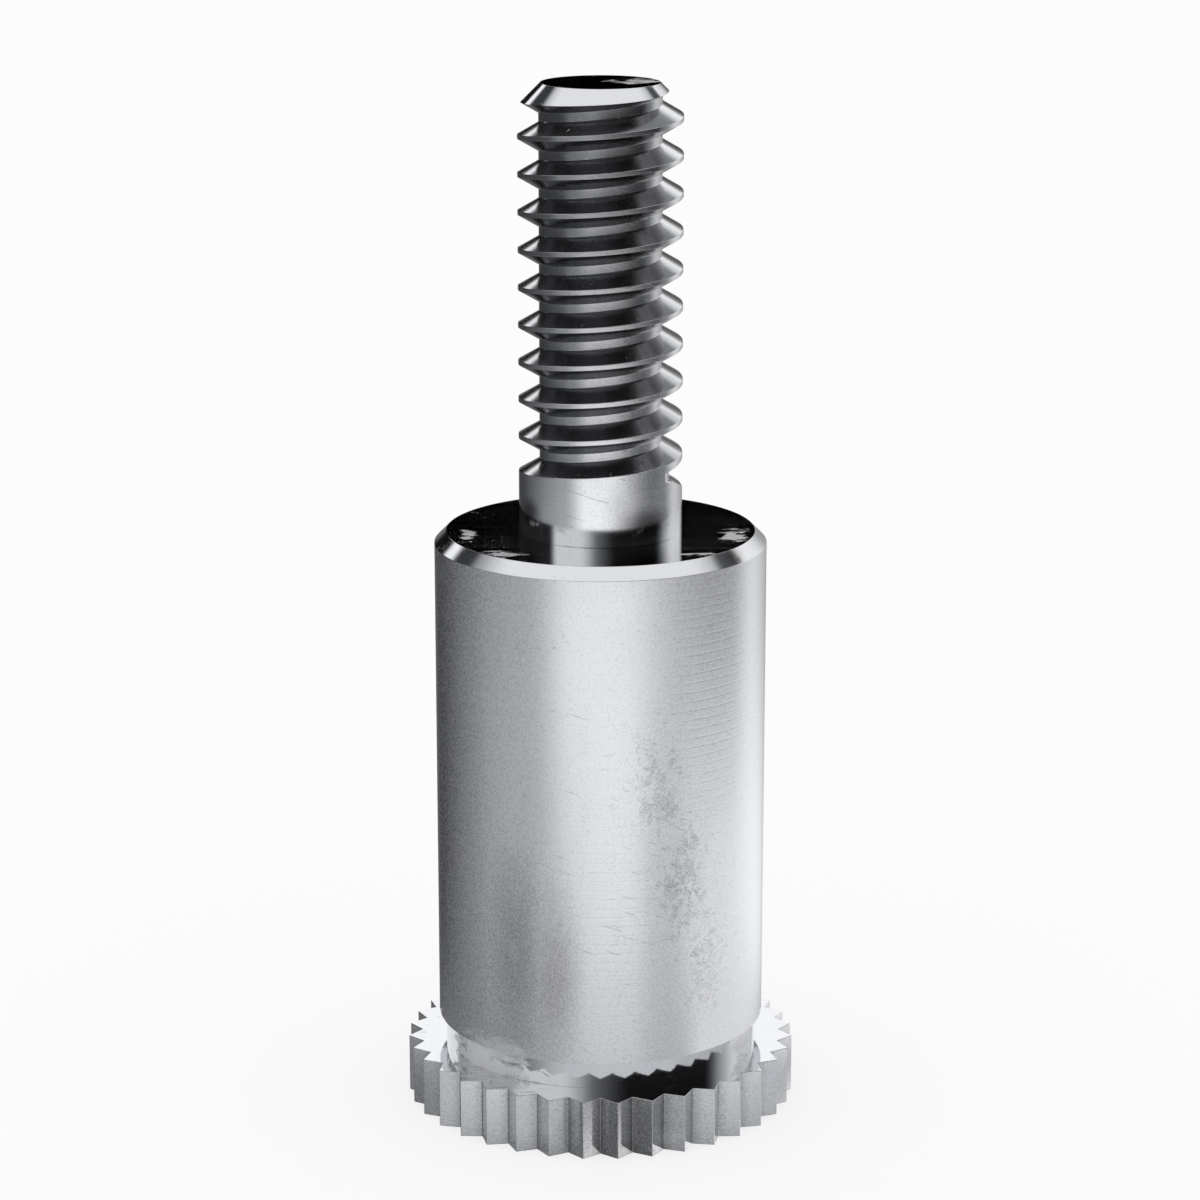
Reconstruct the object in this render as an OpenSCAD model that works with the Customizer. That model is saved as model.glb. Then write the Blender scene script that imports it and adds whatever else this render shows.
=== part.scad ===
// Self-clinching threaded standoff, turned from one bar: a toothed flange, a clinch groove,
// a plain barrel and a threaded stud. Right-hand thread.
// The axis is Z. The flange's flat underside lies on z = 0 and the stud points up.

/* [Flange] */
// Diameter over the tips of the teeth
flange_tip_d = 8.49; // [8.3:0.01:9.5]
// Diameter at the roots of the teeth
flange_root_d = 7.89; // [7.3:0.01:8.2]
// Thickness of the flange
flange_t = 1.27; // [0.8:0.01:2]
// Number of teeth round the flange
teeth = 36; // [18:1:48]

/* [Clinch groove] */
// Diameter of the neck between the flange and the barrel
neck_d = 6.81; // [5.5:0.01:7]
// Width of the groove, from the flange to the barrel
groove_w = 0.6; // [0.3:0.01:1.5]

/* [Barrel] */
// Diameter of the barrel
barrel_d = 7.112; // [7.05:0.001:7.4]
// Height of the barrel's top face above the underside of the flange
standoff_l = 12.7; // [6:0.05:25.4]
// Leg of the 45 degree chamfer round the top of the barrel
barrel_chamfer = 0.254; // [0.1:0.001:0.8]

/* [Stud] */
// Outer diameter of the stud, over its thread
stud_d = 3.48; // [3:0.01:4.5]
// Length of the stud above the barrel
stud_l = 9.525; // [4:0.025:20]
// Leg of the 45 degree chamfer on the end of the stud
stud_chamfer = 0.485; // [0.3:0.005:0.8]

/* [Thread] */
// Rise of the thread in one turn
pitch = 0.79375; // [0.5:0.00125:1]
// Depth of the thread as a share of its pitch
depth_share = 0.56; // [0.45:0.01:0.6]
// Width of the flat crest as a share of the pitch
crest_share = 0.125; // [0.1:0.005:0.2]
// Angle between the two flanks of the thread groove, in degrees
flank_angle = 60; // [50:1:64]
// Height above the barrel at which the thread groove starts, to the middle of the groove
plain_l = 1.165; // [0.8:0.005:3]
// Direction in which the thread groove starts, in degrees from the X axis
thread_dir = -43; // [-180:1:180]
// Turn over which the groove deepens from nothing to its full depth, in degrees
run_in = 45; // [15:5:180]
// How far the run-in leans to the upper flank: 0 goes straight in, 1 slides in along that flank
run_in_lean = 0.72; // [0:0.01:1]

/* [Hidden] */
$fn = 96;

// Steps in one turn of the thread
steps_per_turn = 48;
// Overlap that keeps each joint clear of a shared face
over = 0.2;

stud_top = standoff_l + stud_l;
neck_top = flange_t + groove_w;
thread_depth = depth_share * pitch;
crest_w = crest_share * pitch;
root_r = stud_d / 2 - thread_depth;
flank_slope = tan(flank_angle / 2);
root_half_w = (pitch - crest_w) / 2 - thread_depth * flank_slope;
// The groove's section reaches past the stud by less than what would make its turns meet
cut_h = thread_depth + crest_w / 2;
cut_half_w = root_half_w + cut_h * flank_slope;
thread_turns = (stud_l - plain_l + cut_half_w) / pitch;
thread_steps = ceil(thread_turns * steps_per_turn);

// Point on a circle of radius r, at an angle from the X axis
function on_circle(r, angle) = [r * cos(angle), r * sin(angle)];

// Outline of the flange: straight-sided teeth, with a root on the -Y side
function tooth_outline() = [
    for (i = [0 : 2 * teeth - 1])
        on_circle(i % 2 == 0 ? flange_root_d / 2 : flange_tip_d / 2, -90 + i * 180 / teeth)
];

// Corners of the thread groove's section after i steps up the helix. The section starts outside
// the stud and moves in and down to its full depth.
function groove_section(i) =
    let (
        turned = i * 360 / steps_per_turn,
        angle = thread_dir + turned,
        lift = cut_h * max(0, 1 - turned / run_in),
        climb = i * pitch / steps_per_turn,
        z = standoff_l + plain_l + climb + lift * flank_slope * run_in_lean,
        inner = on_circle(root_r + lift, angle),
        outer = on_circle(root_r + lift + cut_h, angle)
    )
    [
        [inner.x, inner.y, z - root_half_w],
        [outer.x, outer.y, z - cut_half_w],
        [outer.x, outer.y, z + cut_half_w],
        [inner.x, inner.y, z + root_half_w]
    ];

// The space that the thread groove takes from the stud: one section swept up the helix
module thread_groove() {
    points = [for (i = [0 : thread_steps], p = groove_section(i)) p];
    last = 4 * thread_steps;
    sides = [
        for (i = [0 : thread_steps - 1], j = [0 : 3])
            [4 * i + j, 4 * i + (j + 1) % 4, 4 * i + 4 + (j + 1) % 4, 4 * i + 4 + j]
    ];
    ends = [[3, 2, 1, 0], [last, last + 1, last + 2, last + 3]];
    polyhedron(points, concat(sides, ends), convexity = 10);
}

module flange() {
    linear_extrude(flange_t) polygon(tooth_outline());
}

module neck() {
    cylinder(d = neck_d, h = neck_top + over);
}

module barrel() {
    rotate_extrude() polygon([
        [0, neck_top],
        [barrel_d / 2, neck_top],
        [barrel_d / 2, standoff_l - barrel_chamfer],
        [barrel_d / 2 - barrel_chamfer, standoff_l],
        [0, standoff_l]
    ]);
}

module stud_blank() {
    rotate_extrude() polygon([
        [0, standoff_l - over],
        [stud_d / 2, standoff_l - over],
        [stud_d / 2, stud_top - stud_chamfer],
        [stud_d / 2 - stud_chamfer, stud_top],
        [0, stud_top]
    ]);
}

module threaded_stud() {
    difference() {
        stud_blank();
        thread_groove();
    }
}

module standoff() {
    color("silver") {
        flange();
        neck();
        barrel();
        threaded_stud();
    }
}

standoff();
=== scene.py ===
"""A self-clinching standoff in bright turned steel, on its toothed flange on a pale floor."""

import math

import bmesh
import bpy
from mathutils import Matrix, Vector


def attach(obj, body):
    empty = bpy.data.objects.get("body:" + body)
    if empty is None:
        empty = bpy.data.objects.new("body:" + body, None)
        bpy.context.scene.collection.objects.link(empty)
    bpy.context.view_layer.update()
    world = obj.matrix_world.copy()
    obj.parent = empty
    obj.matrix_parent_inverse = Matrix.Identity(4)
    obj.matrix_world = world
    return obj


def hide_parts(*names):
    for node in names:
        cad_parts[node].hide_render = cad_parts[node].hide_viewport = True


MM = 0.001
BODY = "root"
NODE = "standoff"

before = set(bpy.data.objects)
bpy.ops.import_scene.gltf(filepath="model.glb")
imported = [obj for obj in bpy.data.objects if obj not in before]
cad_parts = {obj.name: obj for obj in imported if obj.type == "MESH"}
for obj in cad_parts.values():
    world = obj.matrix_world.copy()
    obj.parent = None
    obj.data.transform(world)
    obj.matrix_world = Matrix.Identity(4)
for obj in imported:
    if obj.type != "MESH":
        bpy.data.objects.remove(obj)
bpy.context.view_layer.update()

# Sizes of the standoff in millimetres, the same as its solid's.
FLANGE_TIP_R = 8.49 / 2
FLANGE_ROOT_R = 7.89 / 2
FLANGE_T = 1.27
TEETH = 36
NECK_R = 6.81 / 2
NECK_TOP = FLANGE_T + 0.6
BARREL_R = 7.112 / 2
BARREL_TOP = 12.7
BARREL_CHAMFER = 0.254
STUD_R = 3.48 / 2
STUD_TOP = BARREL_TOP + 9.525
STUD_CHAMFER = 0.485
PITCH = 0.79375
THREAD_DEPTH = 0.56 * PITCH
CREST_W = 0.125 * PITCH
FLANK_SLOPE = math.tan(math.radians(30))
THREAD_Z = BARREL_TOP + 1.165
THREAD_DIR = -43
RUN_IN = 45
RUN_IN_LEAN = 0.72
RUN_IN_LIFT = THREAD_DEPTH + CREST_W / 2

# Rounding of the edges, in millimetres: what a turned part keeps after deburring.
TIP_ROUND = 0.014
ROOT_ROUND = 0.020
EDGE_BREAK = 0.012
CORNER_ROUND = 0.012
RIM_ROUND = 0.004
FILLET = 0.008
CREST_BREAK = 0.005
CREST_BREAK_SLOPE = math.tan(math.radians(62))
GROOVE_FILLET = 0.010

# Fineness of the mesh: steps of each tooth flank, each rounding and each turn of the thread.
TOOTH_FLANK_STEPS = 5
ARC_STEPS = 3
THREAD_STEPS = 240
# Width in millimetres of the first ring of faces on the flange's top and on the stud's end.
FLAT_RING_W = 0.25

# Shading: sharper edges than this one stay sharp.
SMOOTH_ANGLE = math.radians(62)
# How much the mesh is enlarged for the modifier that weighs its faces.
NORMAL_SCALE = 10000
# A face is level above the first of these slopes of its normal, and upright below the second.
LEVEL_NORMAL_Z = 0.9999
UPRIGHT_NORMAL_Z = 0.05
# How far a corner may lie from a cylinder, in millimetres, and still count as on it.
ON_CYLINDER = 0.003


# ---------------------------------------------------------------- outlines

def arc_corner(before, corner, after, radius):
    """Points of the arc that rounds one corner of an outline."""
    corner = Vector(corner)
    back = (Vector(before) - corner).normalized()
    ahead = (Vector(after) - corner).normalized()
    half = back.angle(ahead) / 2
    centre = corner + (back + ahead).normalized() * radius / math.sin(half)
    start = corner + back * radius / math.tan(half) - centre
    end = corner + ahead * radius / math.tan(half) - centre
    total = start.angle(end)
    points = []
    for i in range(ARC_STEPS + 1):
        t = total * i / ARC_STEPS
        mix = start * math.sin(total - t) + end * math.sin(t)
        points.append(centre + mix / math.sin(total))
    return points


def rounded_line(corners):
    """An open outline from (x, y, radius) corners, each inner one rounded by its radius."""
    spots = [Vector((x, y)) for x, y, _ in corners]
    points = [spots[0]]
    for i in range(1, len(corners) - 1):
        radius = corners[i][2]
        if radius > 0:
            points += arc_corner(spots[i - 1], spots[i], spots[i + 1], radius)
        else:
            points.append(spots[i])
    return points + [spots[-1]]


def polar(radius, degrees):
    """The point at a radius and at an angle from the X axis."""
    angle = math.radians(degrees)
    return Vector((radius * math.cos(angle), radius * math.sin(angle)))


def steps_between(start, end):
    """Points that divide one flank of a tooth, without its ends."""
    return [start.lerp(end, i / TOOTH_FLANK_STEPS) for i in range(1, TOOTH_FLANK_STEPS)]


def tooth_outline():
    """Points round the flange, tooth by tooth, from the root on the -Y side."""
    half = 180 / TEETH
    points = []
    for tooth in range(TEETH):
        middle = -90 + 2 * half * tooth
        root = polar(FLANGE_ROOT_R, middle)
        tip = polar(FLANGE_TIP_R, middle + half)
        next_root = polar(FLANGE_ROOT_R, middle + 2 * half)
        last_tip = polar(FLANGE_TIP_R, middle - half)
        next_tip = polar(FLANGE_TIP_R, middle + 3 * half)
        root_arc = arc_corner(last_tip, root, tip, ROOT_ROUND)
        tip_arc = arc_corner(root, tip, next_root, TIP_ROUND)
        next_root_arc = arc_corner(tip, next_root, next_tip, ROOT_ROUND)
        points += root_arc + steps_between(root_arc[-1], tip_arc[0])
        points += tip_arc + steps_between(tip_arc[-1], next_root_arc[0])
    return points


def turned_profile():
    """Radius and height of the turned surfaces, from the flange's top to the end of the stud."""
    corners = [
        (NECK_R + FLAT_RING_W, FLANGE_T, 0),
        (NECK_R, FLANGE_T, 0),
        (NECK_R, NECK_TOP, FILLET),
        (BARREL_R, NECK_TOP, RIM_ROUND),
        (BARREL_R, BARREL_TOP - BARREL_CHAMFER, CORNER_ROUND),
        (BARREL_R - BARREL_CHAMFER, BARREL_TOP, CORNER_ROUND),
        (STUD_R, BARREL_TOP, 0),
        (STUD_R, STUD_TOP - STUD_CHAMFER, CORNER_ROUND),
        (STUD_R - STUD_CHAMFER, STUD_TOP, CORNER_ROUND),
        (STUD_R - STUD_CHAMFER - FLAT_RING_W, STUD_TOP, 0),
    ]
    return rounded_line(corners)


def groove_profile():
    """Half of the thread groove's section: height above its root, and distance from its middle.

    It ends past the crest, and breaks the crest's edge on its way out.
    """
    root_half = (PITCH - CREST_W) / 2 - THREAD_DEPTH * FLANK_SLOPE
    edge_h = THREAD_DEPTH - CREST_BREAK
    edge_half = root_half + edge_h * FLANK_SLOPE
    outside = 2 * CREST_BREAK
    half = rounded_line([(0, 0, 0), (0, root_half, GROOVE_FILLET), (edge_h, edge_half, 0)])
    return half + [Vector((edge_h + outside, edge_half + outside * CREST_BREAK_SLOPE))]


# ---------------------------------------------------------------- meshes

def add_ring(bm, points, z):
    """A ring of mesh corners at one height, from points in millimetres."""
    return [bm.verts.new((p.x * MM, p.y * MM, z * MM)) for p in points]


def bridge(bm, lower, upper):
    """Faces between two rings of as many points, facing out if the second lies higher."""
    count = len(lower)
    for i in range(count):
        j = (i + 1) % count
        bm.faces.new((lower[i], lower[j], upper[j], upper[i]))


def cap(bm, ring, centre_z, up):
    """Closes a ring with triangles round a point on the axis."""
    centre = bm.verts.new((0, 0, centre_z * MM))
    for i in range(len(ring)):
        a, b = ring[i], ring[(i + 1) % len(ring)]
        bm.faces.new((a, b, centre) if up else (b, a, centre))


def turned_blank():
    """The whole standoff before its thread is cut: toothed flange, neck, barrel and stud blank."""
    bm = bmesh.new()
    outline = tooth_outline()
    inset = [p * (1 - EDGE_BREAK / p.length) for p in outline]
    # The outline starts half a rounding before the -Y side, and the turned rings follow it.
    start = ARC_STEPS / 2
    count = len(outline)
    directions = [polar(1, -90 + 360 * (i - start) / count) for i in range(count)]
    rings = [
        add_ring(bm, [d * BARREL_R for d in directions], 0),
        add_ring(bm, inset, 0),
        add_ring(bm, outline, EDGE_BREAK),
        add_ring(bm, outline, FLANGE_T - EDGE_BREAK),
        add_ring(bm, inset, FLANGE_T),
    ]
    for p in turned_profile():
        rings.append(add_ring(bm, [d * p.x for d in directions], p.y))
    for lower, upper in zip(rings, rings[1:]):
        bridge(bm, lower, upper)
    cap(bm, rings[0], 0, up=False)
    cap(bm, rings[-1], STUD_TOP, up=True)
    mesh = bpy.data.meshes.new("standoff_blank")
    bm.to_mesh(mesh)
    bm.free()
    return mesh


def groove_cutter():
    """The space that the thread groove takes: its section swept up the helix from its run-in."""
    bm = bmesh.new()
    half = groove_profile()
    section = [Vector((p.x, -p.y)) for p in reversed(half[1:])] + half
    turns = (STUD_TOP - THREAD_Z + PITCH) / PITCH
    rings = []
    for i in range(math.ceil(turns * THREAD_STEPS) + 1):
        turned = i * 360 / THREAD_STEPS
        lift = RUN_IN_LIFT * max(0, 1 - turned / RUN_IN)
        middle = THREAD_Z + PITCH * turned / 360 + lift * FLANK_SLOPE * RUN_IN_LEAN
        ring = []
        for p in section:
            spot = polar(STUD_R - THREAD_DEPTH + lift + p.x, THREAD_DIR + turned)
            ring.append(bm.verts.new((spot.x * MM, spot.y * MM, (middle + p.y) * MM)))
        rings.append(ring)
    for lower, upper in zip(rings, rings[1:]):
        bridge(bm, lower, upper)
    bm.faces.new(rings[0][::-1])
    bm.faces.new(rings[-1])
    bmesh.ops.recalc_face_normals(bm, faces=bm.faces)
    mesh = bpy.data.meshes.new("groove_cutter")
    bm.to_mesh(mesh)
    bm.free()
    return mesh


def add_object(name, mesh):
    obj = bpy.data.objects.new(name, mesh)
    bpy.context.scene.collection.objects.link(obj)
    return obj


def applied(obj):
    """The object's mesh with its modifiers applied."""
    graph = bpy.context.evaluated_depsgraph_get()
    return bpy.data.meshes.new_from_object(obj.evaluated_get(graph))


def split_large_faces(mesh):
    """Splits the faces with more than four corners, so that no exporter folds slivers of them."""
    bm = bmesh.new()
    bm.from_mesh(mesh)
    bmesh.ops.triangulate(bm, faces=[face for face in bm.faces if len(face.verts) > 4])
    bm.to_mesh(mesh)
    bm.free()


def on_cylinder(mesh, face):
    """Whether a face lies on the neck's, the barrel's or the stud's cylinder."""
    if abs(face.normal.z) > UPRIGHT_NORMAL_Z:
        return False
    radii = [math.hypot(*mesh.vertices[i].co.xy) / MM for i in face.vertices]
    return any(all(abs(r - radius) < ON_CYLINDER for r in radii)
               for radius in (NECK_R, BARREL_R, STUD_R))


def keep_faces_flat(obj):
    """Shades by face area, so that flat faces stay flat and only the edge roundings blend.

    The modifier ignores faces as small as these, so it works on an enlarged mesh. Level faces and
    faces on a cylinder then get the exact normals of their plane and cylinder.
    """
    obj.data.transform(Matrix.Scale(NORMAL_SCALE, 4))
    weights = obj.modifiers.new("flat_faces", "WEIGHTED_NORMAL")
    weights.keep_sharp = True
    mesh = applied(obj)
    obj.modifiers.clear()
    mesh.transform(Matrix.Scale(1 / NORMAL_SCALE, 4))
    normals = [corner.vector.copy() for corner in mesh.corner_normals]
    for face in mesh.polygons:
        level = abs(face.normal.z) > LEVEL_NORMAL_Z
        if not level and not on_cylinder(mesh, face):
            continue
        for corner in face.loop_indices:
            place = mesh.vertices[mesh.loops[corner].vertex_index].co
            outwards = Vector((place.x, place.y, 0)).normalized()
            normals[corner] = face.normal.copy() if level else outwards
    mesh.normals_split_custom_set(normals)
    obj.data = mesh


def build_standoff():
    """The finished standoff: the blank with the thread groove cut out of its stud."""
    blank = add_object("standoff_steel", turned_blank())
    cutter = add_object("groove_cutter", groove_cutter())
    cut = blank.modifiers.new("thread", "BOOLEAN")
    cut.operation = "DIFFERENCE"
    cut.solver = "MANIFOLD"
    cut.object = cutter
    mesh = applied(blank)
    blank.modifiers.clear()
    blank.data = mesh
    bpy.data.objects.remove(cutter)
    split_large_faces(mesh)
    for face in mesh.polygons:
        face.use_smooth = True
    mesh.set_sharp_from_angle(angle=SMOOTH_ANGLE)
    keep_faces_flat(blank)
    return blank


standoff = build_standoff()
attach(standoff, BODY)
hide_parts(NODE)


# ---------------------------------------------------------------- materials

# Colours: clean steel, the grey that film, grime and painted shade take it to, and the near black
# of painted shade and of the dirt in inner corners.
STEEL = (0.728, 0.736, 0.755, 1)
GRIME_AND_SHADE_GREY = (0.28, 0.28, 0.28, 1)
SHADE_AND_DIRT_BLACK = (0.05, 0.05, 0.052, 1)

# Patterns, in millimetres: the tool's spiral, the streaks along it, the grain and the marks.
FEED = 0.2
FEED_LINE_W = 0.032
STREAK_SIZE = 0.026
STREAK_LENGTH = 2.2
GRAIN_SIZE = 0.020
CLOUD_SIZE = 1.1
GRIME_SIZE = 0.12
SMEAR_SIZE = 0.12
SMEAR_LENGTH = 0.30
HAIR_SIZE = 0.26
HAIR_W = 0.014
SCRATCH_SIZE = 0.016
SCRATCH_LENGTH = 0.9
SCRATCH_ANGLES = (20, 118)
SCRATCH_LIMITS = (0.74, 0.76)
SCRATCH_AXIS = (0.35, -0.9, 0.25)
FEED_LINE_DEPTH = 0.0003
STREAK_DEPTH = 0.0002
GRAIN_DEPTH = 0.0002
SCRATCH_DEPTH = 0.0006

# How much each pattern darkens the steel, as shares of the way to the grey of grime and painted
# shade.
FILM_DARK = 0.08
GRIME_DARK = 0.05
HAIR_DARK = 0.48
GRAIN_DARK = 0.60
GRAIN_MIDDLE = 0.55
LINE_DARK = 0.06
# Painted shade towards the roots of the teeth, between them.
TOOTH_ROOT_SHADE = 0.50
# How far near black covers a painted black place, an inner corner with its shade and dirt, and, as
# painted shade, a flank that faces down and a thread root.
BLACK_SHADE_COVER = 0.8
CREASE_COVER = 0.85
FLANK_COVER = 0.86
ROOT_COVER = 0.25
# What each pattern adds to the roughness.
CLOUD_ROUGH = (-0.02, 0.03)
GRIME_ROUGH = 0.06
SCUFF_ROUGH = 0.30
STREAK_ROUGH = 0.13

# A place's marks are whole within the first share of its reach, and gone at the second.
REACH_LIMITS = (0.1, 1.2)
# The line of painted shade and dirt in an inner corner: solid up to the first distance, and gone
# at the second.
CREASE_LIMITS = (0.005, 0.022)
# Inner corners with a line of painted shade and dirt: radius, height, and the place and reach of
# the line.
CREASES = (
    (STUD_R, BARREL_TOP, ((0.3, -1.7, BARREL_TOP), (1.5, 1.5, 1.0))),
    (NECK_R, FLANGE_T, ((-1.0, -3.2, FLANGE_T), (0.9, 0.9, 1.0))),
)


class Nodes:
    """Short calls that add shader nodes and link them."""

    def __init__(self, tree):
        self.tree = tree

    def add(self, kind, sockets=None, **settings):
        new = self.tree.nodes.new("ShaderNode" + kind)
        for name, value in settings.items():
            setattr(new, name, value)
        for key, value in (sockets or {}).items():
            self.put(new.inputs[key], value)
        return new

    def put(self, socket, value):
        if isinstance(value, bpy.types.NodeSocket):
            self.tree.links.new(value, socket)
        else:
            socket.default_value = value

    def math(self, operation, *values):
        return self.add("Math", dict(enumerate(values)), operation=operation).outputs[0]

    def vector(self, operation, *values):
        new = self.add("VectorMath", operation=operation)
        for i, value in enumerate(values):
            if operation == "SCALE" and i == 1:
                self.put(new.inputs["Scale"], value)
            else:
                self.put(new.inputs[i], value)
        return new.outputs["Value" if operation == "LENGTH" else "Vector"]

    def inverse(self, value):
        """1 where the value is 0, and 0 where it is 1."""
        return self.math("SUBTRACT", 1.0, value)

    def noise(self, vector, size=1.0, detail=2.0, roughness=0.5, distortion=0.0):
        """Noise from 0 to 1 whose features are about as wide as the given size."""
        sockets = {"Vector": vector, "Scale": 0.5 / size, "Detail": detail,
                   "Roughness": roughness, "Distortion": distortion}
        return self.add("TexNoise", sockets).outputs[0]

    def step(self, value, low, high):
        """A soft step: 0 below the first limit, 1 above the second."""
        sockets = {"Value": value, "From Min": low, "From Max": high}
        return self.add("MapRange", sockets, interpolation_type="SMOOTHSTEP").outputs[0]

    def blend(self, share, low, high):
        """The value that lies at the given share of the way from the first to the second."""
        return self.add("MapRange", {"Value": share, "To Min": low, "To Max": high}).outputs[0]

    def colour(self, share, low, high):
        new = self.add("Mix", {"Factor": share}, data_type="RGBA")
        self.put(new.inputs["A"], low)
        self.put(new.inputs["B"], high)
        return new.outputs["Result"]


class Surface:
    """Places on the standoff's surface in millimetres, for its patterns to be laid out by.

    Turned surfaces have their patterns drawn out round the axis, and level ones straight across.
    """

    def __init__(self, n, level):
        place = n.add("TexCoord").outputs["Object"]
        self.place = n.vector("SCALE", place, 1 / MM)
        self.level = level
        self.parts = n.add("SeparateXYZ", {0: self.place}).outputs
        across = n.vector("MULTIPLY", self.place, (1, 1, 0))
        self.height = self.parts["Z"]
        self.radius = n.vector("LENGTH", across)
        angle = n.math("ARCTAN2", self.parts["Y"], self.parts["X"])
        self.turn = n.math("DIVIDE", angle, 2 * math.pi)
        self.direction = n.vector("NORMALIZE", across)
        smeared = self.drawn_out(n, SMEAR_LENGTH, SMEAR_SIZE)
        self.smear = n.noise(smeared, detail=6, roughness=0.68, distortion=0.5)

    def drawn_out(self, n, length, size):
        """Coordinates for a pattern of the given length along the tool's path and size across."""
        if self.level:
            return n.vector("DIVIDE", self.place, (length, size, size))
        across = n.vector("SCALE", self.direction, BARREL_R / length)
        parts = n.add("SeparateXYZ", {0: across}).outputs
        rise = n.math("DIVIDE", self.height, size)
        return n.add("CombineXYZ", {"X": parts["X"], "Y": parts["Y"], "Z": rise}).outputs[0]


def nearness(n, surface, centre, reach):
    """1 at one place on the surface, fading to 0 about the given reach from it on each axis."""
    offset = n.vector("DIVIDE", n.vector("SUBTRACT", surface.place, centre), reach)
    return n.inverse(n.step(n.vector("LENGTH", offset), *REACH_LIMITS))


def nearest(n, surface, places):
    """The highest nearness to any of several places."""
    near = 0.0
    for centre, reach in places:
        near = n.math("MAXIMUM", near, nearness(n, surface, centre, reach))
    return near


def broken(n, near, pattern, sparse=0.68, full=0.44, soft=0.08):
    """A mark that breaks up along a pattern: nearly whole where it is near, and specks far off.

    Sparse and full are the pattern's limits far off and near, and soft is the width of an edge.
    """
    over = n.math("SUBTRACT", pattern, n.blend(near, sparse, full))
    return n.step(over, -0.25 * soft, 0.75 * soft)


def feed_lines(n, surface):
    """The fine spiral that the tool leaves: 1 in its lines and 0 between them."""
    if surface.level:
        spiral = surface.parts["Y"]
    else:
        spiral = n.math("ADD", surface.height, n.math("MULTIPLY", surface.turn, FEED))
    gap = n.math("PINGPONG", spiral, FEED / 2)
    return n.step(gap, FEED / 2 - FEED_LINE_W, FEED / 2)


def streaks(n, surface):
    """Fine lines along the tool's path, each fading in and out along its length."""
    return n.noise(surface.drawn_out(n, STREAK_LENGTH, STREAK_SIZE), detail=2, roughness=0.6)


def scratches(n, surface):
    """Straight scratches in two directions, few and fine."""
    marks = []
    for degrees, limit in zip(SCRATCH_ANGLES, SCRATCH_LIMITS):
        sockets = {"Vector": surface.place, "Angle": math.radians(degrees), "Axis": SCRATCH_AXIS}
        turned = n.add("VectorRotate", sockets).outputs[0]
        sizes = (SCRATCH_LENGTH, SCRATCH_SIZE * 6, SCRATCH_SIZE)
        value = n.noise(n.vector("DIVIDE", turned, sizes), detail=1.0, roughness=0.4)
        marks.append(n.step(value, limit, limit + 0.05))
    return n.math("MAXIMUM", *marks)


def hairs(n, surface):
    """Thin curled strokes: the outlines of noise, broken into short pieces."""
    field = n.noise(surface.place, HAIR_SIZE, detail=4, roughness=0.6, distortion=0.8)
    off = n.math("ABSOLUTE", n.math("SUBTRACT", field, 0.5))
    line = n.inverse(n.step(off, 0.0, HAIR_W))
    pieces = n.step(n.noise(surface.place, HAIR_SIZE / 2, detail=2), 0.50, 0.62)
    return n.math("MULTIPLY", line, pieces)


def thread_painted_shade(n, surface):
    """Painted shade in the thread: black on the flanks that face down and, thinner, at the roots.
    """
    facing = n.add("SeparateXYZ", {0: n.add("NewGeometry").outputs["Normal"]}).outputs["Z"]
    under = n.step(n.math("MULTIPLY", facing, -1.0), 0.3, 0.7)
    steep = n.inverse(n.step(n.math("ABSOLUTE", facing), 0.2, 0.5))
    root_r = STUD_R - THREAD_DEPTH
    deep = n.inverse(n.step(surface.radius, root_r + 0.02, root_r + 0.06))
    root = n.math("MULTIPLY", n.math("MULTIPLY", steep, deep), ROOT_COVER)
    return n.math("MAXIMUM", n.math("MULTIPLY", under, FLANK_COVER), root)


def corner_shade_and_dirt(n, surface):
    """A thin dark line of painted shade and dirt in the inner corners, only near the place that
    each names.
    """
    line = 0.0
    for radius, height, place in CREASES:
        flat = n.math("SUBTRACT", surface.radius, radius)
        rise = n.math("SUBTRACT", surface.height, height)
        gap = n.vector("LENGTH", n.add("CombineXYZ", {"X": flat, "Z": rise}).outputs[0])
        thin = n.inverse(n.step(gap, *CREASE_LIMITS))
        line = n.math("MAXIMUM", line, n.math("MULTIPLY", thin, nearness(n, surface, *place)))
    return line


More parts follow.
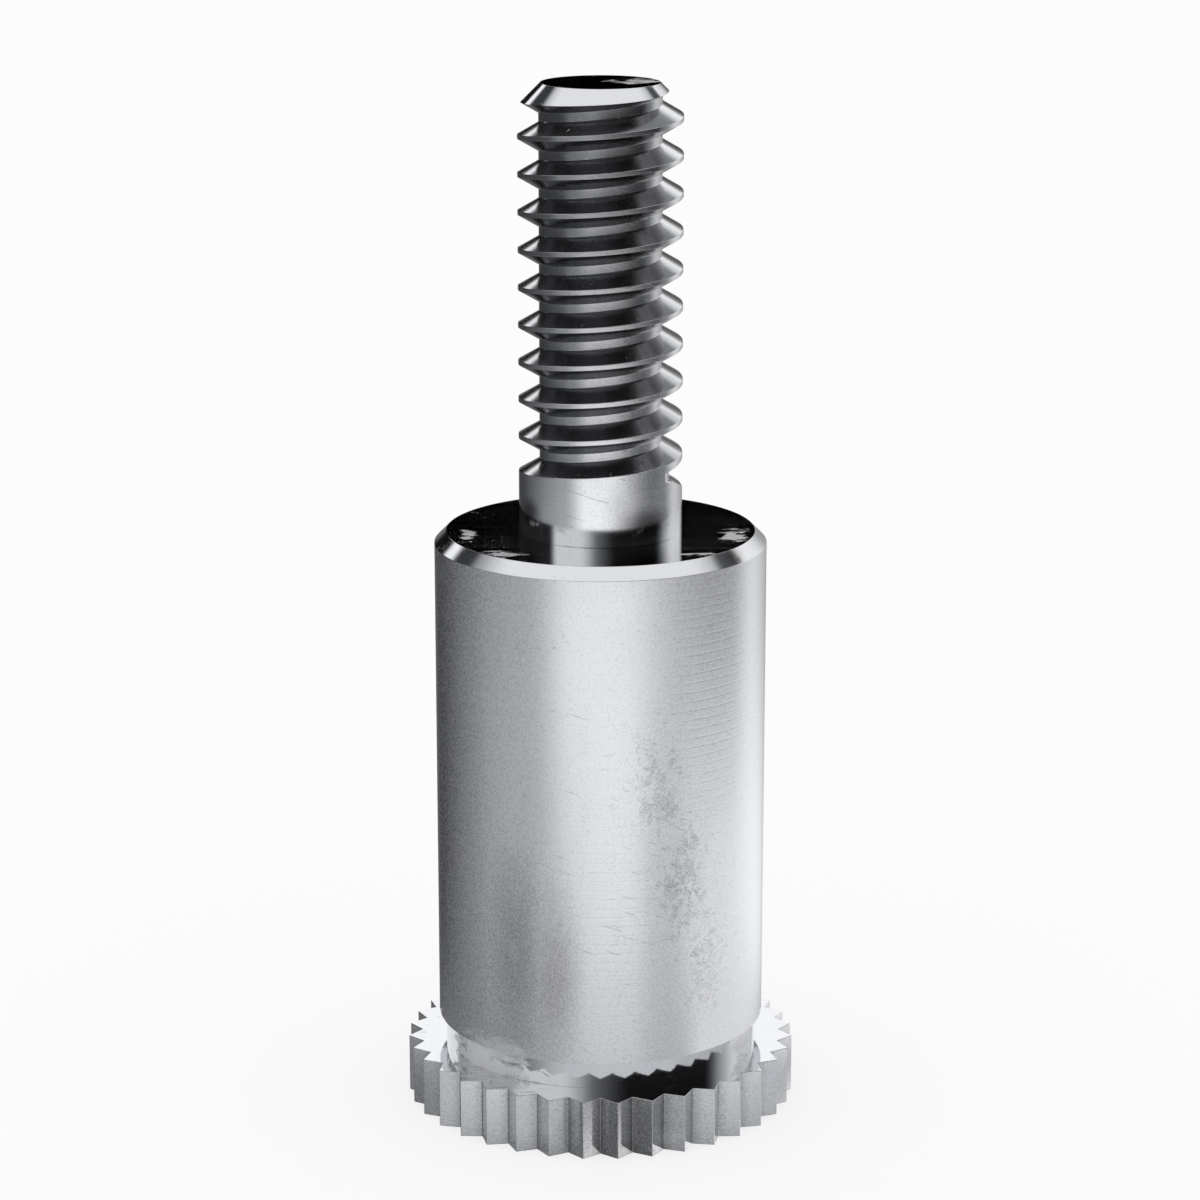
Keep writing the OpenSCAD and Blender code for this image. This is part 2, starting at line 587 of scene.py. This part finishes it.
def steel(name, level=False, rough=0.13, lines=1.0, streak=1.0, grain=1.0, haze=0.0,
          dirty=(), filth=1.0, shaded=(), shade=0.35, painted_black=(), lined=(),
          scuffed=(), worn=0.44, soft=0.08, dust=0.45, matt=0.0, rooted=False, threaded=False):
    """Steel with its tool lines, streaks, grain, scratches, grime, marks and painted shade.

    Level says that the tool's path lies flat. Rough is the base roughness, and lines, streak,
    grain and haze are the strengths of the patterns. The marks each have a list of places:

    - dirty: film, specks and grime, as heavy as filth
    - shaded: painted shade, a soft grey as dark as shade
    - painted_black: painted shade, nearly black
    - lined: where the tool's lines show fully
    - scuffed: smears that lose the shine; worn and soft set how whole they are and how soft their
      edges are, and dust how pale

    Matt takes the shine from single grains. Rooted paints shade in the roots of the teeth, and
    threaded paints shade in the thread.
    """
    material = bpy.data.materials.new(name)
    material.use_nodes = True
    n = Nodes(material.node_tree)
    shader = material.node_tree.nodes["Principled BSDF"]
    surface = Surface(n, level)

    grain_noise = n.noise(surface.place, GRAIN_SIZE, detail=0)
    streak_noise = streaks(n, surface)
    cloud = n.noise(surface.place, CLOUD_SIZE, detail=5, roughness=0.6, distortion=0.4)
    line_share = n.blend(nearest(n, surface, lined), 0.08, 1.0)
    line_mask = n.math("MULTIPLY", feed_lines(n, surface), line_share)
    scratch_mask = scratches(n, surface)

    dirt_near = nearest(n, surface, dirty)
    flakes = n.noise(surface.place, GRIME_SIZE, detail=7, roughness=0.8, distortion=0.3)
    grime = broken(n, dirt_near, flakes, sparse=0.66, full=0.46)
    grime = n.math("MULTIPLY", grime, n.blend(grain_noise, 1.8, 0.2))
    film = n.math("MULTIPLY", dirt_near, n.step(cloud, 0.35, 0.60))
    specks = n.math("MULTIPLY", hairs(n, surface), n.blend(dirt_near, 0.10, 1.0))
    # Painted shade: soft grey patches where the steel is to look darker.
    shadow = n.math("MULTIPLY", nearest(n, surface, shaded), n.step(cloud, 0.2, 0.5))
    scuff = broken(n, nearest(n, surface, scuffed), surface.smear, full=worn, soft=soft)

    height = n.math("MULTIPLY", line_mask, -lines * FEED_LINE_DEPTH)
    height = n.math("MULTIPLY_ADD", streak_noise, streak * STREAK_DEPTH, height)
    height = n.math("MULTIPLY_ADD", grain_noise, grain * GRAIN_DEPTH, height)
    height = n.math("MULTIPLY_ADD", scratch_mask, -SCRATCH_DEPTH, height)
    height = n.math("MULTIPLY_ADD", specks, SCRATCH_DEPTH, height)
    bump = n.add("Bump", {"Strength": 1.0, "Distance": MM, "Height": height})

    least, most = CLOUD_ROUGH
    scuff_share = n.math("MULTIPLY", scuff, n.blend(surface.smear, 0.0, 2.0))
    roughness = n.blend(cloud, rough + least, rough + most)
    roughness = n.math("MULTIPLY_ADD", grime, GRIME_ROUGH, roughness)
    roughness = n.math("MULTIPLY_ADD", scuff_share, SCUFF_ROUGH, roughness)
    coarse_streaks = n.step(streak_noise, 0.52, 0.75)
    roughness = n.math("MULTIPLY_ADD", coarse_streaks, STREAK_ROUGH * haze, roughness)

    dark = n.math("MULTIPLY", specks, HAIR_DARK)
    dark = n.math("MULTIPLY_ADD", film, FILM_DARK * filth, dark)
    dark = n.math("MULTIPLY_ADD", grime, GRIME_DARK * filth, dark)
    dark = n.math("MULTIPLY_ADD", shadow, shade, dark)
    dark_grain = n.math("SUBTRACT", GRAIN_MIDDLE, grain_noise)
    dark = n.math("MULTIPLY_ADD", dark_grain, GRAIN_DARK * grain, dark)
    dark = n.math("MULTIPLY_ADD", line_mask, LINE_DARK * lines, dark)
    if rooted:
        # Painted shade, darker towards the roots of the teeth.
        tip = n.step(surface.radius, FLANGE_ROOT_R - 0.05, FLANGE_ROOT_R + 0.16)
        dark = n.math("MULTIPLY_ADD", n.inverse(tip), TOOTH_ROOT_SHADE, dark)
    # The grey that film, grime and painted shade take the steel to.
    colour = n.colour(dark, STEEL, GRIME_AND_SHADE_GREY)
    # Painted shade, nearly black, at the listed places.
    black_shade = n.math("MULTIPLY", nearest(n, surface, painted_black), BLACK_SHADE_COVER)
    colour = n.colour(black_shade, colour, SHADE_AND_DIRT_BLACK)
    # A thin line of painted shade and dirt in the inner corners.
    crease_share = n.blend(n.step(cloud, 0.42, 0.58), 0.2, 1.0)
    crease = n.math("MULTIPLY", corner_shade_and_dirt(n, surface), crease_share)
    colour = n.colour(n.math("MULTIPLY", crease, CREASE_COVER), colour, SHADE_AND_DIRT_BLACK)
    if threaded:
        # Painted shade in the thread, black on the flanks that face down and thinner at the roots.
        colour = n.colour(thread_painted_shade(n, surface), colour, SHADE_AND_DIRT_BLACK)

    dull = n.math("MULTIPLY", scuff, dust)
    dull = n.math("MULTIPLY_ADD", n.step(grain_noise, 0.36, 0.64), matt, dull)
    n.put(shader.inputs["Base Color"], colour)
    n.put(shader.inputs["Metallic"], n.inverse(dull))
    n.put(shader.inputs["Roughness"], roughness)
    n.put(shader.inputs["Normal"], bump.outputs[0])
    return material


TURNED, FACED, CHAMFERED, SHANKED, NECKED, TOOTHED, THREADED = range(7)
# Slopes of a face's normal: flat faces, chamfers, and the 45 degrees of the stud's chamfer.
FLAT_NORMAL_Z = 0.95
CHAMFER_NORMAL_Z = 0.5
STUD_CHAMFER_NORMAL_Z = (0.6, 0.8)
# How far past the neck the flange's teeth begin, and how far inside the stud the thread does.
TOOTH_GAP = 0.2
CREST_GAP = 0.02


def zone_of(face):
    """Which finish a face has, by where it lies and how steep it is."""
    centre = face.center / MM
    radius = math.hypot(centre.x, centre.y)
    steep = face.normal.z
    if abs(steep) > FLAT_NORMAL_Z:
        return FACED
    if centre.z > THREAD_Z - PITCH:
        low, high = STUD_CHAMFER_NORMAL_Z
        on_chamfer = centre.z > STUD_TOP - STUD_CHAMFER and low < steep < high
        if not on_chamfer and (radius < STUD_R - CREST_GAP or centre.z > THREAD_Z + PITCH):
            return THREADED
    if steep > CHAMFER_NORMAL_Z:
        return CHAMFERED
    if centre.z < FLANGE_T and radius > NECK_R + TOOTH_GAP:
        return TOOTHED
    if centre.z < NECK_TOP - FILLET and radius < NECK_R + TOOTH_GAP:
        return NECKED
    return SHANKED if centre.z > BARREL_TOP else TURNED


# The finishes. Each mark is a place on the surface and its reach along each axis, in millimetres.
turned_steel = steel(
    "turned_steel", rough=0.19, matt=0.085, grain=0.85, streak=0.5,
    dirty=(
        ((1.15, -3.35, 7.9), (0.9, 1.0, 1.8)),
        ((1.75, -3.1, 5.8), (1.1, 1.0, 2.0)),
        ((2.3, -2.7, 3.7), (0.9, 0.9, 1.9)),
    ),
    shade=0.5,
    shaded=(
        ((-1.8, -3.1, 4.4), (0.8, 0.9, 2.6)),
        ((-0.9, -3.45, 3.9), (0.6, 0.8, 2.4)),
    ),
    lined=(
        ((2.3, -2.7, 9.8), (1.7, 1.7, 4.0)),
        ((0.3, -2.7, 5.6), (1.3, 1.5, 3.4)),
    ),
    worn=0.30, soft=0.35, dust=0.4,
    scuffed=(((-2.2, -2.8, 1.87), (1.4, 1.2, 0.42)),),
)
faced_steel = steel(
    "faced_steel", level=True, rough=0.055, lines=0.3, streak=0.5, grain=0.1, haze=0.35,
    dust=0.25,
    scuffed=(
        ((-2.1, -2.25, BARREL_TOP), (0.7, 0.5, 1.0)),
        ((2.9, -0.6, BARREL_TOP), (0.5, 1.1, 1.0)),
        ((-2.8, -0.5, BARREL_TOP), (0.3, 0.7, 1.0)),
        ((1.9, -2.2, BARREL_TOP), (0.7, 0.3, 1.0)),
        ((0.8, 0.2, STUD_TOP), (0.9, 0.9, 1.0)),
        ((-2.4, -2.6, FLANGE_T), (1.6, 1.4, 0.5)),
    ),
)
chamfer_steel = steel(
    "chamfer_steel", rough=0.08, lines=0.0, streak=0.5, grain=0.2,
    filth=9.0,
    dirty=(
        ((-3.3, -0.9, 12.57), (0.5, 0.6, 0.3)),
        ((2.75, -1.95, 12.57), (0.35, 0.4, 0.3)),
    ),
)
shank_steel = steel(
    "shank_steel", rough=0.11, lines=0.4, grain=0.6,
    dirty=(((1.1, -1.3, 13.6), (0.5, 0.5, 0.7)),),
    shaded=(
        ((0.85, -1.5, 13.7), (0.6, 0.6, 1.2)),
        ((0.45, -1.7, 13.4), (0.5, 0.6, 0.8)),
        ((1.65, -0.6, 13.6), (0.4, 0.6, 1.2)),
    ),
    # Painted shade, nearly black, at the foot of the shank.
    painted_black=(
        ((0.95, -1.45, 13.15), (0.7, 0.8, 0.42)),
        ((-1.5, -0.9, 13.3), (0.3, 0.6, 0.35)),
    ),
    lined=(((1.1, -1.3, 13.4), (0.7, 0.7, 0.8)),),
)
neck_steel = steel(
    "neck_steel", rough=0.07, lines=0.0, grain=0.4,
    worn=0.26, soft=0.30, dust=0.75,
    scuffed=(
        ((-2.6, -2.3, 1.5), (1.7, 1.6, 1.2)),
        ((3.1, -1.4, 1.5), (0.5, 0.7, 0.6)),
    ),
)
toothed_steel = steel(
    "toothed_steel", rough=0.09, lines=0.0, streak=0.3, matt=0.06, rooted=True,
    shade=0.62, shaded=(((0.6, -4.1, 0.6), (2.3, 1.2, 3.0)),),
)
threaded_steel = steel(
    "threaded_steel", rough=0.15, lines=0.0, streak=0.6, grain=0.8, threaded=True,
    filth=4.0, dirty=(((0.75, -1.2, 17.5), (0.5, 0.8, 7.0)),),
)

mesh = standoff.data
mesh.materials.clear()
# In the order of the zones' numbers.
for finish in (turned_steel, faced_steel, chamfer_steel, shank_steel, neck_steel,
               toothed_steel, threaded_steel):
    mesh.materials.append(finish)
for face in mesh.polygons:
    face.material_index = zone_of(face)


# ---------------------------------------------------------------- stage

WHITE = (1, 1, 1, 1)
COOL = (0.95, 0.97, 1.0, 1)
FLOOR_GREY = (0.9, 0.9, 0.9, 1)

# The cards, in metres: the height of their common centre, the first one's distance from it, and
# how much nearer each later one is. Their facets turn by two degrees.
STAGE_CENTRE_Z = 11 * MM
WALL_DISTANCE = 1.6
CARD_GAP = 0.05
CARD_STEP = 2
# Cards darker than this are slightly cool.
COOL_BELOW = 0.7
# How far the floor goes to plain white for the camera and in reflections.
FLOOR_WHITE = 0.75

# The camera: its lens and film in millimetres, its place, and how far it looks down, in radians.
LENS = 108.2
FILM_W = 36
CAMERA_PLACE = (-0.0102 * MM, -75.02 * MM, 30.90 * MM)
CAMERA_DOWN = 0.25776
CLIP_START = 0.001


def smooth(value):
    """A soft step from 0 to 1."""
    value = min(1.0, max(0.0, value))
    return value * value * (3 - 2 * value)


def cover_at(angle, limits, low_feather, high_feather):
    """How far a card covers one angle: half at its limits, and fully half a feather inside."""
    low, high = limits
    rise = smooth((angle - low) / low_feather + 0.5)
    fall = smooth((high - angle) / high_feather + 0.5)
    return rise * fall


def stations(limits, low_feather, high_feather):
    """The angles of a card's facets, feathers included."""
    low, high = limits[0] - low_feather / 2, limits[1] + high_feather / 2
    count = math.ceil((high - low) / CARD_STEP)
    return [low + (high - low) * i / count for i in range(count + 1)]


def bare_nodes(owner):
    """The empty node tree of a material or a world."""
    owner.use_nodes = True
    n = Nodes(owner.node_tree)
    n.tree.nodes.clear()
    return n


def card_material(name, tone):
    """A card's plain even tone, fading to nothing where its cover fades."""
    material = bpy.data.materials.new(name)
    n = bare_nodes(material)
    colour = COOL if tone < COOL_BELOW else WHITE
    glow = n.add("Emission", {"Color": colour, "Strength": tone})
    clear = n.add("BsdfTransparent")
    cover = n.add("Attribute", attribute_name="cover")
    mixed = n.add("MixShader", {0: cover.outputs["Fac"]})
    n.put(mixed.inputs[1], clear.outputs[0])
    n.put(mixed.inputs[2], glow.outputs[0])
    n.add("OutputMaterial", {"Surface": mixed.outputs[0]})
    material.cycles.emission_sampling = "NONE"
    return material


cards = []


def card(name, tone, azimuth=(-180, 180), elevation=(-90, 90), feather=(4, 4, 4, 4)):
    """A curved studio card round the standoff, each nearer than the last.

    Angles are in degrees, and azimuth 0 is in front and 90 to the right. The feather softens the
    left, right, bottom and top edges.
    """
    distance = WALL_DISTANCE - CARD_GAP * len(cards)
    full_turn = azimuth[1] - azimuth[0] >= 360
    left, right, bottom, top = feather
    az_line = stations(azimuth, 0 if full_turn else left, 0 if full_turn else right)
    el_line = [el for el in stations(elevation, bottom, top) if -90 <= el <= 90]
    bm = bmesh.new()
    cover = bm.verts.layers.float.new("cover")
    grid = []
    for el in el_line:
        row = []
        flat = math.cos(math.radians(el)) * distance
        z = STAGE_CENTRE_Z + distance * math.sin(math.radians(el))
        for az in az_line:
            turn = math.radians(az)
            vert = bm.verts.new((flat * math.sin(turn), -flat * math.cos(turn), z))
            across = 1.0 if full_turn else cover_at(az, azimuth, left, right)
            vert[cover] = across * cover_at(el, elevation, bottom, top)
            row.append(vert)
        grid.append(row)
    for lower, upper in zip(grid, grid[1:]):
        for i in range(len(lower) - 1):
            bm.faces.new((lower[i], lower[i + 1], upper[i + 1], upper[i]))
    mesh = bpy.data.meshes.new(name)
    bm.to_mesh(mesh)
    bm.free()
    obj = add_object(name, mesh)
    mesh.materials.append(card_material(name, tone))
    obj.visible_camera = False
    obj.visible_diffuse = False
    obj.visible_shadow = False
    cards.append(obj)


card("studio_wall", 0.24, elevation=(-95, 95))
card("ceiling_light", 1.0, azimuth=(-136, 132), elevation=(44, 120), feather=(4, 4, 20, 4))
card("camera_side_dark", 0.08, azimuth=(-62, 62), elevation=(34, 58))
card("back_light", 1.2, azimuth=(157, 227), elevation=(18, 43), feather=(4, 4, 2, 4))
card("back_flag", 0.0, azimuth=(132, 232), elevation=(2, 17), feather=(12, 12, 6, 2))
card("right_light", 1.05, azimuth=(106, 157), elevation=(-2, 32), feather=(34, 36, 4, 4))
card("key_light", 0.98, azimuth=(-70, -16), elevation=(9, 25), feather=(14, 30, 4, 4))
card("right_flag", 0.01, azimuth=(2, 92), elevation=(-10, 30), feather=(40, 16, 8, 4))
card("left_wall", 0.062, azimuth=(-166, -66), elevation=(-37, 4), feather=(25, 25, 4, 6))
card("left_flag", 0.01, azimuth=(-166, -72), elevation=(3, 18), feather=(20, 12, 6, 4))
card("left_slot", 0.05, azimuth=(-181, -121), elevation=(26, 42), feather=(4, 4, 4, 6))
card("right_slot", 0.09, azimuth=(111, 138), elevation=(31, 42))
card("dark_base", 0.064, elevation=(-46, -29), feather=(4, 4, 10, 9))
card("right_base", 0.025, azimuth=(14, 119), elevation=(-47, -26))
card("front_floor", 0.18, azimuth=(-89, 64), elevation=(-36, -13))
card("left_table", 0.62, azimuth=(-96, -38), elevation=(-22.0, -12), feather=(110, 36, 1.5, 8))
card("right_wall", 1.0, azimuth=(116, 148), elevation=(-21.7, -2), feather=(34, 79, 1.5, 4))
card("right_table", 1.32, azimuth=(-13, 162), elevation=(-22.0, -16.8), feather=(36, 60, 1.5, 7))
card("front_table", 1.38, azimuth=(-37, 44), elevation=(-20.2, -10.5), feather=(36, 76, 13, 8))
card("table_seam", 0.68, azimuth=(30, 58), elevation=(-23, -18.5), feather=(20, 20, 2, 4))
card("front_strip", 0.68, azimuth=(-40, 66), elevation=(-25, -21.7), feather=(40, 40, 2, 2))
card("left_strip", 0.24, azimuth=(-160, -75), elevation=(-28, -21.8), feather=(20, 20, 3, 1.5))
card("right_strip", 1.3, azimuth=(70, 155), elevation=(-31, -23.7), feather=(20, 20, 4, 1.5))


def white_to_viewer(n, share):
    """The share of plain white that the camera and reflections see, and nothing else does."""
    path = n.add("LightPath").outputs
    seen = n.math("MAXIMUM", path["Is Camera Ray"], path["Is Glossy Ray"])
    seen = n.math("MAXIMUM", seen, path["Is Transmission Ray"])
    return n.math("MULTIPLY", seen, share)


def add_floor():
    """The pale floor, which keeps the standoff's shadow."""
    mesh = bpy.data.meshes.new("floor")
    bm = bmesh.new()
    bmesh.ops.create_grid(bm, x_segments=1, y_segments=1, size=1.0)
    bm.to_mesh(mesh)
    bm.free()
    obj = add_object("floor", mesh)
    material = bpy.data.materials.new("pale_floor")
    n = bare_nodes(material)
    matt = n.add("BsdfDiffuse", {"Color": FLOOR_GREY})
    white = n.add("Emission", {"Color": WHITE, "Strength": 1.0})
    mixed = n.add("MixShader", {0: white_to_viewer(n, FLOOR_WHITE)})
    n.put(mixed.inputs[1], matt.outputs[0])
    n.put(mixed.inputs[2], white.outputs[0])
    n.add("OutputMaterial", {"Surface": mixed.outputs[0]})
    material.cycles.emission_sampling = "NONE"
    mesh.materials.append(material)
    # Metal shows the cards below it instead.
    obj.visible_glossy = False


def add_world():
    """Plain white all round."""
    world = bpy.data.worlds.new("studio")
    bpy.context.scene.world = world
    n = bare_nodes(world)
    world.cycles.sampling_method = "NONE"
    soft = n.add("Background", {"Color": WHITE, "Strength": 1.0})
    n.add("OutputWorld", {"Surface": soft.outputs[0]})


def add_camera():
    """The camera at the photograph's viewing angle."""
    data = bpy.data.cameras.new("camera")
    data.lens = LENS
    data.sensor_width = FILM_W
    data.clip_start = CLIP_START
    camera = add_object("camera", data)
    camera.location = CAMERA_PLACE
    camera.rotation_euler = (math.pi / 2 - CAMERA_DOWN, 0, 0)
    bpy.context.scene.camera = camera


add_floor()
add_world()
add_camera()
bpy.context.scene.view_settings.view_transform = "Standard"
